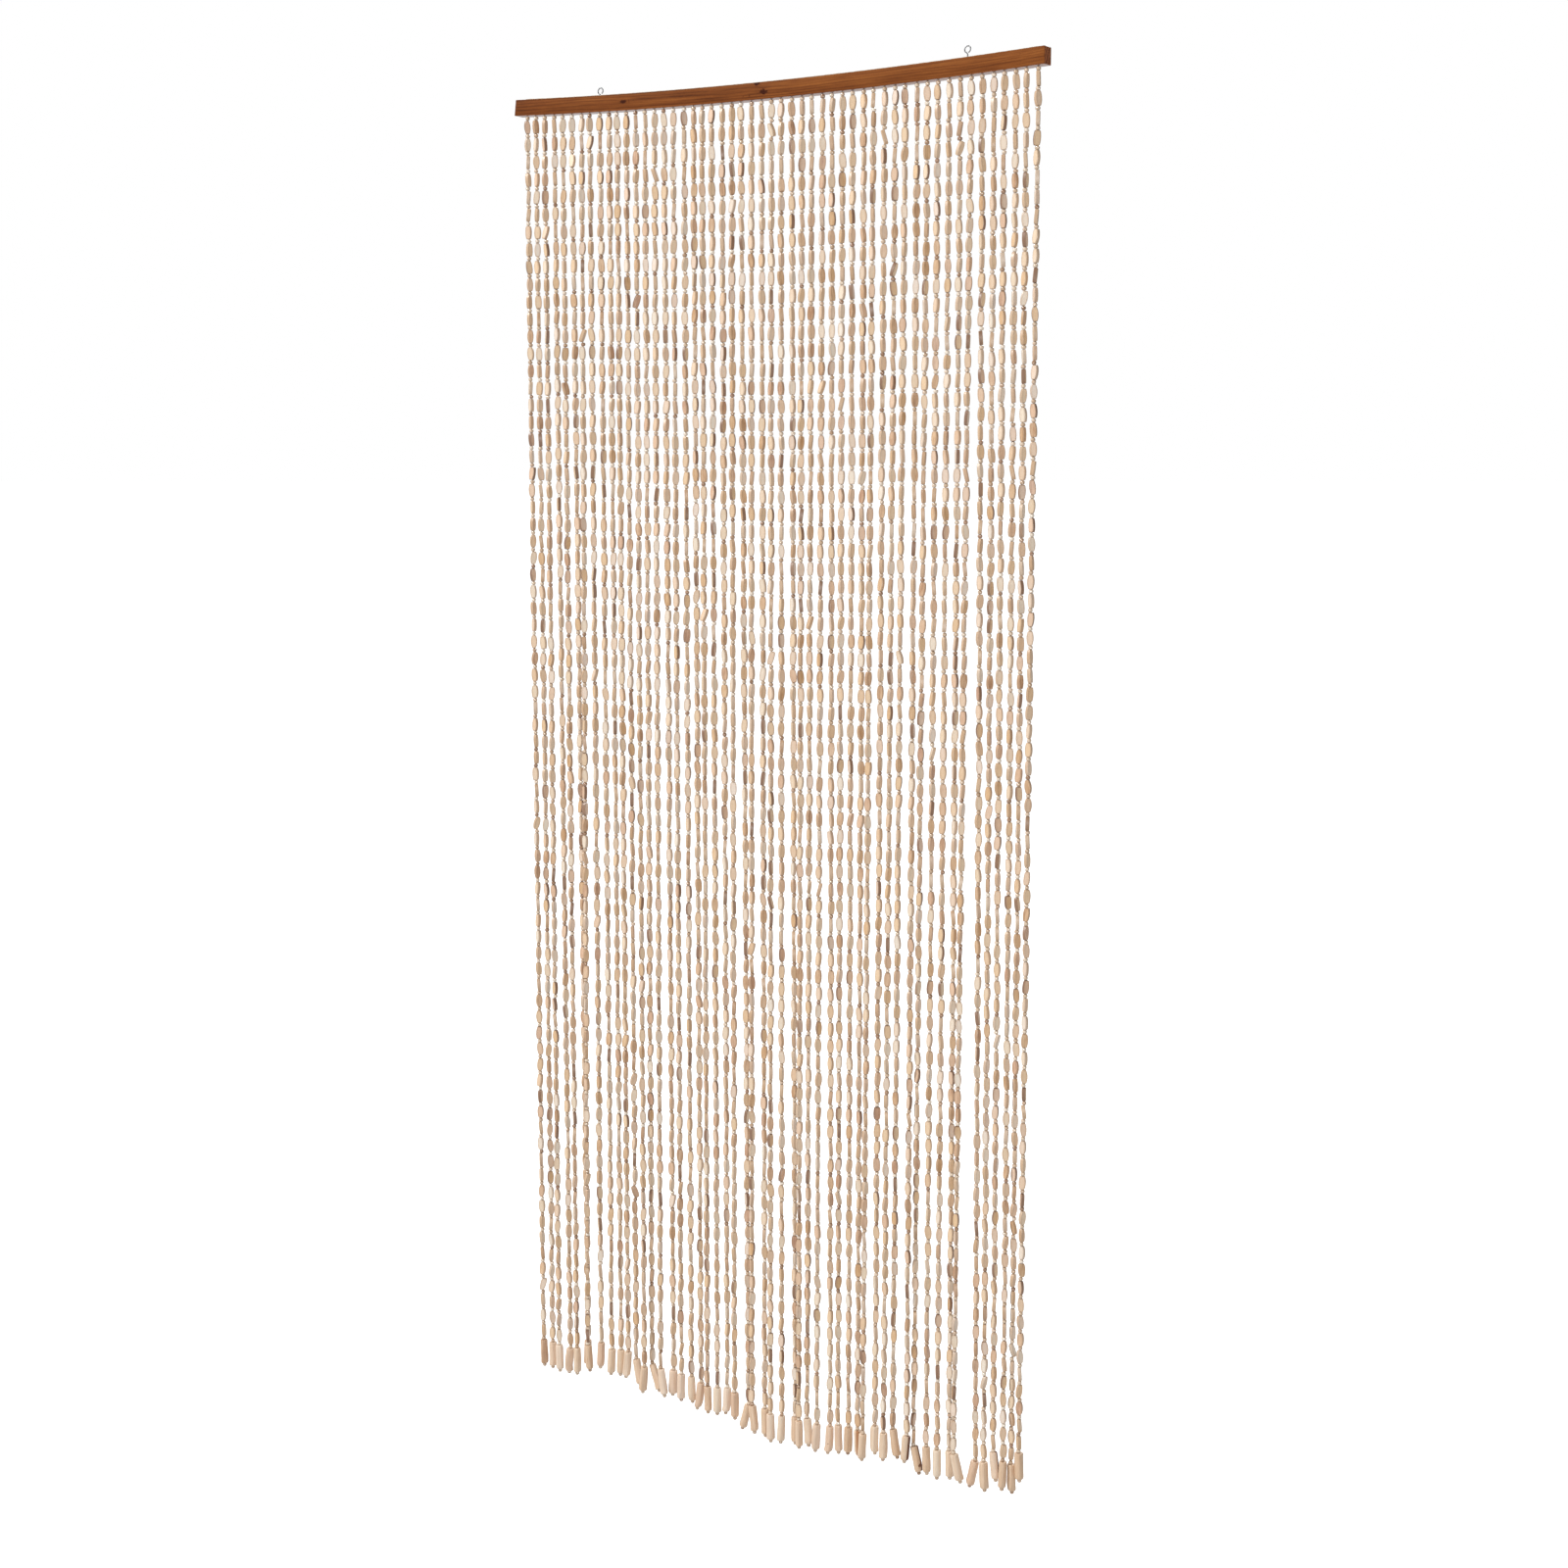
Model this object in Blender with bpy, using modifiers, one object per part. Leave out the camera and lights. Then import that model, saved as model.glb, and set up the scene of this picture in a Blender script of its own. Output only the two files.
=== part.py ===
# Wooden bead curtain: strands of beads laced through a bowed wooden batten with two screw eyes
#
# Metres. +X runs along the batten to the right as seen from the room, +Y to the back, +Z up.
# The origin is midway between the centres of the two screw eyes' loops, where the curtain hangs.

import math
import random
from collections import namedtuple

import bpy
import bmesh
from mathutils import Matrix, Vector

# Batten
BATTEN_LENGTH = 0.900
BATTEN_HEIGHT = 0.024
BATTEN_DEPTH = 0.021
BATTEN_SAG = 0.0105  # how far the middle has bowed down under the beads
BATTEN_RISE = 0.003  # right end above the left end
BATTEN_STEPS = 14  # straight stretches along the bow
LEFT_END_SLANT = 0.003  # the left end was sawn a little off square
ARRIS = 0.0012

# Screw eyes, of bent wire
WIRE = 0.0018
EYE_RING = 0.0045  # radius of the loop, to the middle of the wire
EYE_SHANK_IN_WOOD = 0.012
Eye = namedtuple("Eye", "name along loop_above_batten")
EYES = (
    Eye("eye_left", 0.154, 0.0079),
    Eye("eye_right", 0.778, 0.0120),
)
LOOP_START_ANGLE = math.radians(250)
LOOP_END_ANGLE = math.radians(-53)  # leaves a small gap beside the shank
LOOP_STEPS = 22

# Strings and beads
STRANDS = 52
FIRST_STRAND = 0.018  # from the batten's left end
LAST_STRAND = 0.889
STRAND_LINE = -0.005  # the row of holes lies a little in front of the batten's middle
HOLE = 0.0040
STRING_WIDTH = 0.0016
BEAD_WIDTH = 0.0056  # mean width of the string of flat and round beads
SMALL_BEAD_WIDTH = 0.0040
STRAND_STEPS = 7  # straight stretches along the beads
BELL_LENGTH = 0.047  # the long bead at the foot, with its knob
BELL_WIDTH = 0.011
KNOB_WIDTH = 0.0052
LACING_WIDTH = 0.0024
LACING_HEIGHT = 0.0016
GAP = 0.0003  # between pieces that touch

# How much each strand may stray from the even row, by a seeded draw
HOLE_WANDER = 0.0012
DROP_WANDER = 0.004
LEAN_WANDER = 3.0
DRIFT_WANDER = 0.0015
FORWARD_WANDER = 0.001
BELL_WANDER = 0.0015
SEED = 11

# Groups of strands of one drop, from the batten's mid-height to the foot of the bell
Group = namedtuple("Group", "first drop")
GROUPS = (
    Group(1, 2.022),
    Group(6, 2.003),
    Group(12, 2.017),
    Group(19, 2.022),
    Group(24, 2.042),
    Group(38, 2.030),
    Group(42, 2.046),
    Group(49, 2.030),
    Group(50, 2.043),
    Group(52, 2.021),
)

# Strands that hang away from the even row: how far the foot drifts to the right and stands
# forward of the row, in metres, and how far the bell leans to the right, in degrees
Stray = namedtuple("Stray", "strand drift forward lean")
STRAYS = (
    Stray(4, -0.001, 0.000, -7),
    Stray(5, 0.002, 0.003, 1),
    Stray(6, -0.001, -0.006, -2),
    Stray(7, -0.009, 0.005, 4),
    Stray(8, -0.004, 0.000, -3),
    Stray(11, -0.001, 0.002, -6),
    Stray(12, 0.000, -0.004, 10),
    Stray(13, -0.001, 0.005, -5),
    Stray(14, 0.000, -0.005, 20),
    Stray(15, 0.002, 0.005, 8),
    Stray(16, -0.002, -0.005, -4),
    Stray(19, 0.000, 0.000, -7),
    Stray(24, 0.001, -0.003, -15),
    Stray(25, 0.002, 0.003, 8),
    Stray(26, 0.002, -0.003, 2),
    Stray(27, -0.001, 0.004, 1),
    Stray(29, 0.005, -0.004, 0),
    Stray(30, -0.001, 0.004, 1),
    Stray(31, -0.004, -0.002, 5),
    Stray(32, -0.006, 0.002, -4),
    Stray(36, -0.002, -0.005, 2),
    Stray(37, -0.007, 0.005, -3),
    Stray(38, -0.005, 0.000, -2),
    Stray(39, -0.005, 0.003, 0),
    Stray(40, -0.005, -0.004, 9),
    Stray(41, -0.002, 0.003, -5),
    Stray(42, -0.003, -0.004, 13),
    Stray(45, 0.002, -0.004, 3),
    Stray(46, 0.001, 0.004, 14),
    Stray(47, 0.007, -0.002, -12),
    Stray(48, 0.011, 0.003, 2),
    Stray(49, 0.010, -0.002, 7),
    Stray(50, 0.008, 0.003, -1),
    Stray(51, 0.003, -0.004, 2),
)

# Curves are drawn with this bevel depth, so a point's radius is its half width in millimetres
CURVE_UNIT = 0.001


# Places along the bowed batten
def bow(along):
    share = along / BATTEN_LENGTH
    return BATTEN_RISE * share - 4 * BATTEN_SAG * share * (1 - share)


def eye_height(eye):
    return bow(eye.along) + BATTEN_HEIGHT / 2 + eye.loop_above_batten


ORIGIN_ALONG = sum(eye.along for eye in EYES) / len(EYES)
ORIGIN_HEIGHT = sum(eye_height(eye) for eye in EYES) / len(EYES)


def place_x(along):
    return along - ORIGIN_ALONG


def batten_middle(along):
    return bow(along) - ORIGIN_HEIGHT


def batten_top(along):
    return batten_middle(along) + BATTEN_HEIGHT / 2


def batten_underside(along):
    return batten_middle(along) - BATTEN_HEIGHT / 2


# The row of strands
Strand = namedtuple("Strand", "along hole bell_top bell_foot")


def strand_row():
    draw = random.Random(SEED)
    strays = {stray.strand: stray for stray in STRAYS}
    pitch = (LAST_STRAND - FIRST_STRAND) / (STRANDS - 1)
    row = []
    for number in range(1, STRANDS + 1):
        along = FIRST_STRAND + (number - 1) * pitch + draw.uniform(-1, 1) * HOLE_WANDER
        drop = [group.drop for group in GROUPS if group.first <= number][-1]
        drop += draw.uniform(-1, 1) * DROP_WANDER
        lean = draw.uniform(-1, 1) * LEAN_WANDER
        drift = draw.uniform(-1, 1) * DRIFT_WANDER
        forward = draw.uniform(-1, 1) * FORWARD_WANDER
        length = BELL_LENGTH + draw.uniform(-1, 1) * BELL_WANDER
        if number in strays:
            _, drift, forward, lean = strays[number]
        tilt = math.radians(lean)
        hole = Vector((place_x(along), STRAND_LINE, batten_underside(along)))
        foot = Vector((hole.x + drift, hole.y - forward, bow(along) - ORIGIN_HEIGHT - drop))
        half = Vector((math.sin(tilt), 0, -math.cos(tilt))) * length / 2
        middle = foot + Vector((0, 0, length / 2))
        row.append(Strand(along, hole, middle - half, middle + half))
    return row


# Objects, materials and collections
def clear_scene():
    for thing in list(bpy.data.objects):
        bpy.data.objects.remove(thing)


def new_collection(name):
    collection = bpy.data.collections.new(name)
    bpy.context.scene.collection.children.link(collection)
    return collection


def new_material(name, colour, roughness, metallic=0.0):
    material = bpy.data.materials.new(name)
    material.use_nodes = True
    shader = material.node_tree.nodes["Principled BSDF"]
    shader.inputs["Base Color"].default_value = (*colour, 1)
    shader.inputs["Roughness"].default_value = roughness
    shader.inputs["Metallic"].default_value = metallic
    return material


def mesh_object(name, mesh, collection):
    thing = bpy.data.objects.new(name, mesh)
    collection.objects.link(thing)
    return thing


def hide_as_helper(thing):
    thing.hide_render = True
    thing.display_type = "WIRE"


def boolean(thing, other, operation):
    modifier = thing.modifiers.new(operation.title(), "BOOLEAN")
    modifier.operation = operation
    modifier.solver = "EXACT"
    modifier.object = other


# Each line is a list of points with a half width, in metres. Resolution 0 gives four sides.
def tube_object(name, lines, resolution, collection):
    curve = bpy.data.curves.new(name + "_line", "CURVE")
    curve.dimensions = "3D"
    curve.bevel_depth = CURVE_UNIT
    curve.bevel_resolution = resolution
    curve.use_fill_caps = True
    for line in lines:
        spline = curve.splines.new("POLY")
        spline.points.add(len(line) - 1)
        for point, (place, half_width) in zip(spline.points, line):
            point.co = (*place, 1)
            point.radius = half_width / CURVE_UNIT
    drawn = bpy.data.objects.new(name + "_line", curve)
    collection.objects.link(drawn)
    bpy.context.view_layer.update()
    evaluated = drawn.evaluated_get(bpy.context.evaluated_depsgraph_get())
    mesh = bpy.data.meshes.new_from_object(evaluated)
    mesh.name = name
    work = bmesh.new()
    work.from_mesh(mesh)
    bmesh.ops.remove_doubles(work, verts=work.verts, dist=1e-6)
    bmesh.ops.recalc_face_normals(work, faces=work.faces)
    work.to_mesh(mesh)
    work.free()
    tube = mesh_object(name, mesh, collection)
    tube.matrix_world = drawn.matrix_world.copy()
    bpy.data.objects.remove(drawn)
    return tube


# The batten: a straight stick, bent along its bow and drilled
def make_batten(row, collection, helpers):
    work = bmesh.new()
    size = Matrix.Diagonal((BATTEN_LENGTH, BATTEN_DEPTH, BATTEN_HEIGHT, 1))
    bmesh.ops.create_cube(work, size=1, matrix=size)
    bmesh.ops.translate(work, verts=work.verts, vec=(BATTEN_LENGTH / 2, 0, 0))
    for step in range(1, BATTEN_STEPS):
        bmesh.ops.bisect_plane(
            work,
            geom=work.verts[:] + work.edges[:] + work.faces[:],
            plane_co=(BATTEN_LENGTH * step / BATTEN_STEPS, 0, 0),
            plane_no=(1, 0, 0),
        )
    for vert in work.verts:
        along = vert.co.x
        if along == 0 and vert.co.z < 0:
            vert.co.x -= LEFT_END_SLANT
        vert.co.z += batten_middle(along)
        vert.co.x = place_x(vert.co.x)
    mesh = bpy.data.meshes.new("batten")
    work.to_mesh(mesh)
    work.free()
    batten = mesh_object("batten", mesh, collection)
    mesh.materials.append(new_material("stained_wood", (0.24, 0.075, 0.025), 0.5))
    edges = batten.modifiers.new("Arrises", "BEVEL")
    edges.width = ARRIS
    edges.segments = 1
    edges.limit_method = "ANGLE"
    edges.angle_limit = math.radians(40)
    boolean(batten, make_drills(row, helpers), "DIFFERENCE")
    return batten


# One cutter for the through holes of the strings and the two blind holes of the screw eyes
def make_drills(row, helpers):
    work = bmesh.new()
    for strand in row:
        drill(work, strand.hole.x, STRAND_LINE, HOLE, batten_middle(strand.along), BATTEN_HEIGHT * 2)
    for eye in EYES:
        depth = EYE_SHANK_IN_WOOD + GAP
        width = WIRE + 2 * GAP
        drill(work, place_x(eye.along), 0, width, batten_top(eye.along), depth * 2)
    mesh = bpy.data.meshes.new("drills")
    work.to_mesh(mesh)
    work.free()
    drills = mesh_object("drills", mesh, helpers)
    hide_as_helper(drills)
    return drills


# Eight flat sides that all lie outside the round hole of this width
def drill(work, x, y, width, middle, length):
    sides = 8
    outer = width / 2 / math.cos(math.pi / sides)
    bmesh.ops.create_cone(
        work,
        cap_ends=True,
        segments=sides,
        radius1=outer,
        radius2=outer,
        depth=length,
        matrix=Matrix.Translation((x, y, middle)),
    )


# A screw eye: a shank in the wood that turns into an open loop
def make_eye(eye, material, collection):
    x = place_x(eye.along)
    centre = eye_height(eye) - ORIGIN_HEIGHT
    top = batten_top(eye.along)
    heights = (top - EYE_SHANK_IN_WOOD, top, centre - EYE_RING - WIRE)
    line = [((x, 0, height), WIRE / 2) for height in heights]
    turn = LOOP_START_ANGLE - LOOP_END_ANGLE
    for step in range(LOOP_STEPS + 1):
        angle = LOOP_START_ANGLE - turn * step / LOOP_STEPS
        place = (x + EYE_RING * math.cos(angle), 0, centre + EYE_RING * math.sin(angle))
        line.append((place, WIRE / 2))
    wire = tube_object(eye.name, [line], 2, collection)
    wire.data.materials.append(material)
    wire.data.shade_smooth()
    wire.data.set_sharp_from_angle(angle=math.radians(50))
    return wire


# One strand from the lacing down: string, beads and the long bead at its foot
def strand_line(strand):
    root = Vector((strand.hole.x, STRAND_LINE, batten_top(strand.along) + GAP + LACING_HEIGHT / 2))
    string = STRING_WIDTH / 2
    bead = BEAD_WIDTH / 2
    bell = strand.bell_foot - strand.bell_top
    neck = strand.bell_top - bell.normalized() * 0.001
    first_bead = strand.hole - Vector((0, 0, 0.003))
    last_bead = neck + Vector((0, 0, 0.012))
    line = [(root, string), (first_bead, string), (first_bead - Vector((0, 0, 0.003)), bead)]
    for step in range(1, STRAND_STEPS):
        line.append((first_bead.lerp(last_bead, step / STRAND_STEPS), bead))
    line.append((last_bead, bead))
    line.append((neck, SMALL_BEAD_WIDTH / 2))
    profile = (
        (0.00, 0.86),
        (0.03, 1.00),
        (0.72, 1.00),
        (0.86, 0.72),
        (0.89, KNOB_WIDTH / BELL_WIDTH),
        (0.97, KNOB_WIDTH / BELL_WIDTH),
        (1.00, 0.25),
    )
    for share, width in profile:
        line.append((strand.bell_top + bell * share, width * BELL_WIDTH / 2))
    return line


# All the strands, their roots fused into the cord that laces them along the batten's top
def make_strands(row, collection, helpers):
    strands = tube_object("strands", [strand_line(strand) for strand in row], 0, collection)
    strands.data.materials.append(new_material("bead_wood", (0.60, 0.40, 0.25), 0.55))
    lacing = make_lacing(row, helpers)
    boolean(strands, lacing, "UNION")
    return strands


# The lacing cord, a narrow strip on the bow of the batten's top
def make_lacing(row, helpers):
    ends = LACING_WIDTH
    first = row[0].along - ends
    last = row[-1].along + ends
    work = bmesh.new()
    size = Matrix.Diagonal((last - first, LACING_WIDTH, LACING_HEIGHT, 1))
    bmesh.ops.create_cube(work, size=1, matrix=size)
    bmesh.ops.translate(work, verts=work.verts, vec=((first + last) / 2, STRAND_LINE, 0))
    for step in range(1, BATTEN_STEPS):
        bmesh.ops.bisect_plane(
            work,
            geom=work.verts[:] + work.edges[:] + work.faces[:],
            plane_co=(BATTEN_LENGTH * step / BATTEN_STEPS, 0, 0),
            plane_no=(1, 0, 0),
        )
    for vert in work.verts:
        vert.co.z += batten_top(vert.co.x) + GAP + LACING_HEIGHT / 2
        vert.co.x = place_x(vert.co.x)
    mesh = bpy.data.meshes.new("lacing")
    work.to_mesh(mesh)
    work.free()
    lacing = mesh_object("lacing", mesh, helpers)
    hide_as_helper(lacing)
    return lacing


def main():
    clear_scene()
    curtain = new_collection("bead_curtain")
    helpers = new_collection("helpers")
    row = strand_row()
    make_batten(row, curtain, helpers)
    wire = new_material("zinc_wire", (0.45, 0.45, 0.44), 0.38, metallic=1.0)
    for eye in EYES:
        make_eye(eye, wire, curtain)
    make_strands(row, curtain, helpers)


main()
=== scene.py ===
import math
import random

import bmesh
import bpy
import numpy as np
from mathutils import Matrix, Vector, noise


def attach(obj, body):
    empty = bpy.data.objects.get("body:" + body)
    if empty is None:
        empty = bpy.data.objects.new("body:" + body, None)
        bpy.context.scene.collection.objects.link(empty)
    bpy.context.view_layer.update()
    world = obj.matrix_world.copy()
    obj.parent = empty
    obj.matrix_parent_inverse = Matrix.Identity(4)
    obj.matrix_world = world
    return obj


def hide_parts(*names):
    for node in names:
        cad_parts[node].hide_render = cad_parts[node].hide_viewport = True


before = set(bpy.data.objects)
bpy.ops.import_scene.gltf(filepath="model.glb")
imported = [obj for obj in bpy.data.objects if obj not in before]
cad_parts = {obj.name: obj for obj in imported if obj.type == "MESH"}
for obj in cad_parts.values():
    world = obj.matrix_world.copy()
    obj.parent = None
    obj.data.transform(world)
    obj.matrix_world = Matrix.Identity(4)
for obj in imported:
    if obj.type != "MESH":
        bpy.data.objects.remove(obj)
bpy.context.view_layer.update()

# Metres. +X runs along the batten to the right, +Y to the back, +Z up, and the origin lies
# midway between the loops of the two screw eyes.


# Shader sums: a signal is one output socket, and arithmetic on it adds Math nodes
class Signal:
    def __init__(self, tree, socket=None):
        self.tree = tree
        self.socket = socket

    def node(self, kind, settings=None, values=None, out=0):
        made = self.tree.nodes.new(kind)
        for name, setting in (settings or {}).items():
            if name == "stops":
                fillRamp(made.color_ramp, setting)
            else:
                setattr(made, name, setting)
        for name, value in (values or {}).items():
            if isinstance(value, Signal):
                self.tree.links.new(value.socket, made.inputs[name])
            else:
                made.inputs[name].default_value = value
        return Signal(self.tree, made.outputs[out])

    def sum(self, operation, first, second=None):
        values = {0: first} if second is None else {0: first, 1: second}
        return self.node("ShaderNodeMath", {"operation": operation}, values)

    def __add__(self, other):
        return self.sum("ADD", self, other)

    def __radd__(self, other):
        return self.sum("ADD", other, self)

    def __sub__(self, other):
        return self.sum("SUBTRACT", self, other)

    def __rsub__(self, other):
        return self.sum("SUBTRACT", other, self)

    def __mul__(self, other):
        return self.sum("MULTIPLY", self, other)

    def __rmul__(self, other):
        return self.sum("MULTIPLY", other, self)

    def __truediv__(self, other):
        return self.sum("DIVIDE", self, other)

    def __rtruediv__(self, other):
        return self.sum("DIVIDE", other, self)

    def __pow__(self, other):
        return self.sum("POWER", self, other)

    def __neg__(self):
        return self.sum("MULTIPLY", self, -1.0)

    def sine(self):
        return self.sum("SINE", self)

    def root(self):
        return self.sum("SQRT", self)

    def most(self, other):
        return self.sum("MAXIMUM", self, other)

    def between(self, low, high):  # 0 at low, 1 at high, eased
        ranged = {"interpolation_type": "SMOOTHSTEP"}
        return self.node("ShaderNodeMapRange", ranged, {0: self, 1: low, 2: high, 3: 0.0, 4: 1.0})

    def waves(self, spacing):  # from 0 to 1 and back over each spacing
        return (self * (math.tau / spacing)).sine() * 0.5 + 0.5

    def blend(self, colour, share):
        colour = (*colour, 1) if isinstance(colour, tuple) else colour
        settings = {"data_type": "RGBA", "clamp_factor": True}
        return self.node("ShaderNodeMix", settings, {0: share, 6: self, 7: colour}, 2)

    def ramp(self, stops):
        return self.node("ShaderNodeValToRGB", {"stops": stops}, {0: self})

    def stretched(self, scale):  # vectors
        return self.node("ShaderNodeVectorMath", {"operation": "MULTIPLY"}, {0: self, 1: scale})

    def noise(self, scale, detail=3.0, roughness=0.5, distortion=0.0):
        values = {
            "Vector": self,
            "Scale": scale,
            "Detail": detail,
            "Roughness": roughness,
            "Distortion": distortion,
        }
        return self.node("ShaderNodeTexNoise", {"noise_dimensions": "3D"}, values)

    def streaked(self, scales, detail=3.0, roughness=0.5, distortion=0.0):  # a scale for each axis
        return self.stretched(scales).noise(1.0, detail, roughness, distortion)

    def part(self, axis):
        return self.node("ShaderNodeSeparateXYZ", None, {0: self}, axis)

    def mark(self, name, out=2):  # an attribute of the mesh: 1 is its vector, 2 its value
        return self.node("ShaderNodeAttribute", {"attribute_name": name}, None, out)


def fillRamp(ramp, stops):
    while len(ramp.elements) < len(stops):
        ramp.elements.new(1.0)
    for element, (place, colour) in zip(ramp.elements, stops):
        element.position = place
        element.color = (*colour, 1)


def newMaterial(name):
    material = bpy.data.materials.new(name)
    material.use_nodes = True
    return material, Signal(material.node_tree), material.node_tree.nodes["Principled BSDF"]


def feed(shader, **inputs):  # BaseColor=... feeds the socket Base Color
    for name, value in inputs.items():
        spaced = "".join(" " + letter if letter.isupper() else letter for letter in name).strip()
        socket = shader.inputs[spaced]
        if isinstance(value, Signal):
            value.tree.links.new(value.socket, socket)
        else:
            socket.default_value = value


def bumped(height, strength, distance):
    values = {"Strength": strength, "Distance": distance, "Height": height}
    return height.node("ShaderNodeBump", None, values)


# Meshes made of rings: each ring is a loop of points, and both end rings are closed
def ringFaces(ringCount, side):
    faces = []
    for ring in range(ringCount - 1):
        for step in range(side):
            after = (step + 1) % side
            low, high = ring * side, (ring + 1) * side
            faces.append((low + step, low + after, high + after, high + step))
    faces.append(tuple(range(side - 1, -1, -1)))
    top = (ringCount - 1) * side
    faces.append(tuple(range(top, top + side)))
    return faces


def template(rings):
    rings = np.array(rings, dtype=float)
    return {"points": rings.reshape(-1, 3), "faces": ringFaces(rings.shape[0], rings.shape[1])}


def faceLayout(faces):  # every corner in one row, and where each face starts in it
    corners = np.concatenate([np.array(face) for face in faces])
    totals = np.array([len(face) for face in faces])
    return corners, np.concatenate([[0], np.cumsum(totals)[:-1]])


def meshOf(name, points, corners, starts, marks, sharpAngle):
    mesh = bpy.data.meshes.new(name)
    mesh.vertices.add(len(points))
    mesh.vertices.foreach_set("co", np.asarray(points, np.float32).ravel())
    mesh.loops.add(len(corners))
    mesh.loops.foreach_set("vertex_index", corners.astype(np.int32))
    mesh.polygons.add(len(starts))
    mesh.polygons.foreach_set("loop_start", starts.astype(np.int32))
    mesh.update(calc_edges=True)
    for name, values in marks.items():
        addMark(mesh, name, values)
    mesh.shade_smooth()
    mesh.set_sharp_from_angle(angle=math.radians(sharpAngle))
    return mesh


def addMark(mesh, name, values):
    values = np.asarray(values, np.float32)
    flat = values.ndim == 1
    layer = mesh.attributes.new(name, "FLOAT" if flat else "FLOAT_VECTOR", "POINT")
    layer.data.foreach_set("value" if flat else "vector", values.ravel())


# Many copies of one template joined into one mesh, each with its own turn, place and marks
def joinedCopies(name, shape, copies, marks, sharpAngle):
    count = len(copies["place"])
    each = len(shape["points"])
    local = np.array(np.broadcast_to(shape["points"], (count, each, 3)))
    share = local[:, :, 2] / np.abs(local[:, :, 2]).max()
    local[:, :, 0] *= 1 + copies["flare"][:, None] * share**2 + copies["taper"][:, None] * share
    turned = np.einsum("nij,nvj->nvi", copies["turn"], local)
    points = (turned + copies["place"][:, None, :]).reshape(-1, 3)
    corners, starts = faceLayout(shape["faces"])
    order = np.arange(count)[:, None]
    allCorners = (corners + each * order).ravel()
    allStarts = (starts + len(corners) * order).ravel()
    allMarks = {key: np.repeat(values, each) for key, values in marks.items()}
    allMarks["grainPlace"] = (local + copies["grain"][:, None, :]).reshape(-1, 3)
    for key, values in shape["marks"].items():
        allMarks[key] = np.concatenate([values] * count)
    return meshOf(name, points, allCorners, allStarts, allMarks, sharpAngle)


# A tube swept along a line of points
def tubeRings(line, radii, side):
    line = np.array(line, dtype=float)
    along = np.gradient(line, axis=0)
    along /= np.linalg.norm(along, axis=1)[:, None]
    across = np.cross(along[0], (0.0, 1.0, 0.0))
    if np.linalg.norm(across) < 0.1:
        across = np.cross(along[0], (1.0, 0.0, 0.0))
    rings = []
    angles = np.arange(side) * math.tau / side
    for place, forward, radius in zip(line, along, radii):
        across = across - forward * np.dot(across, forward)
        across /= np.linalg.norm(across)
        over = np.cross(forward, across)
        ring = place + radius * (np.cos(angles)[:, None] * across + np.sin(angles)[:, None] * over)
        rings.append(ring)
    return np.array(rings)


def smoothLine(points, steps):  # a Catmull-Rom curve through the points
    points = [Vector(point) for point in points]
    padded = [2 * points[0] - points[1], *points, 2 * points[-1] - points[-2]]
    line = []
    for index in range(len(points) - 1):
        before, start, end, after = padded[index : index + 4]
        for step in range(steps):
            share = step / steps
            square, cube = share**2, share**3
            line.append(
                0.5
                * (
                    2 * start
                    + (end - before) * share
                    + (2 * before - 5 * start + 4 * end - after) * square
                    + (3 * start - before - 3 * end + after) * cube
                )
            )
    line.append(points[-1])
    return line


def newObject(name, data):
    thing = bpy.data.objects.new(name, data)
    bpy.context.scene.collection.objects.link(thing)
    return thing


def addPiece(name, mesh, material, node):
    piece = newObject(name, mesh)
    mesh.materials.clear()
    mesh.materials.append(material)
    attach(piece, "root")
    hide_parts(node)
    mesh.calc_loop_triangles()
    print(f"  {name}: {len(mesh.loop_triangles)} triangles")


# The camera stands in front of the curtain, to the right of it: angles in degrees, lens in millimetres
camera = {
    "place": (1.890, -3.020, -0.555),
    "turn": 31.84,
    "dip": 7.73,
    "lens": 54.95,
    "sensor": 36,
    "farthest": 200,
}


def makeCamera():
    lens = bpy.data.cameras.new("camera")
    lens.lens = camera["lens"]
    lens.sensor_width = camera["sensor"]
    lens.clip_end = camera["farthest"]
    viewer = newObject("camera", lens)
    viewer.location = camera["place"]
    viewer.rotation_euler = (math.radians(90 - camera["dip"]), 0, math.radians(camera["turn"]))
    bpy.context.scene.camera = viewer


# Batten: place along it is counted from its left end
batten = {
    "length": 0.900,
    "height": 0.024,
    "depth": 0.021,
    "sag": 0.0105,  # how far its middle hangs under its ends
    "rise": 0.003,  # how much higher its right end is
    "endSlant": 0.003,  # the left end's foot stands out
    "steps": 72,
    "arris": 0.0011,
    "arrisSteps": 3,
    "arrisFade": 1.2,
    "ripple": 0.00012,
    "rippleScale": (22, 130, 130),
    "holeWidth": 0.0040,
    "holeSides": 20,
    "eyeHole": 0.0024,
    "eyeHoleDepth": 0.0123,
    "sharp": 32,
}
eyes = {
    "wire": 0.0018,
    "ring": 0.0045,
    "shank": (0.012, 0.004, 0.0),  # depths of its points in the wood
    "neck": 0.9,
    "lean": 0.10,
    "startAngle": 250,
    "endAngles": {"eye_left": -54, "eye_right": -72},
    # place along the batten, height of the loop's middle over its top
    "places": {"eye_left": (0.154, 0.0079), "eye_right": (0.778, 0.0120)},
    "ringSteps": 22,
    "smoothSteps": 4,
    "side": 14,
    "endWidth": 0.72,
    "threadRings": 14,
    "threadDepth": 0.07,
    "threadPitch": 0.0008,
    "sharp": 60,
}


def bow(along):
    share = along / batten["length"]
    return batten["rise"] * share - 4 * batten["sag"] * share * (1 - share)


originAlong = sum(along for along, _ in eyes["places"].values()) / 2
originHeight = sum(bow(along) + batten["height"] / 2 + up for along, up in eyes["places"].values()) / 2


def battenMiddle(along):
    return bow(along) - originHeight


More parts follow.
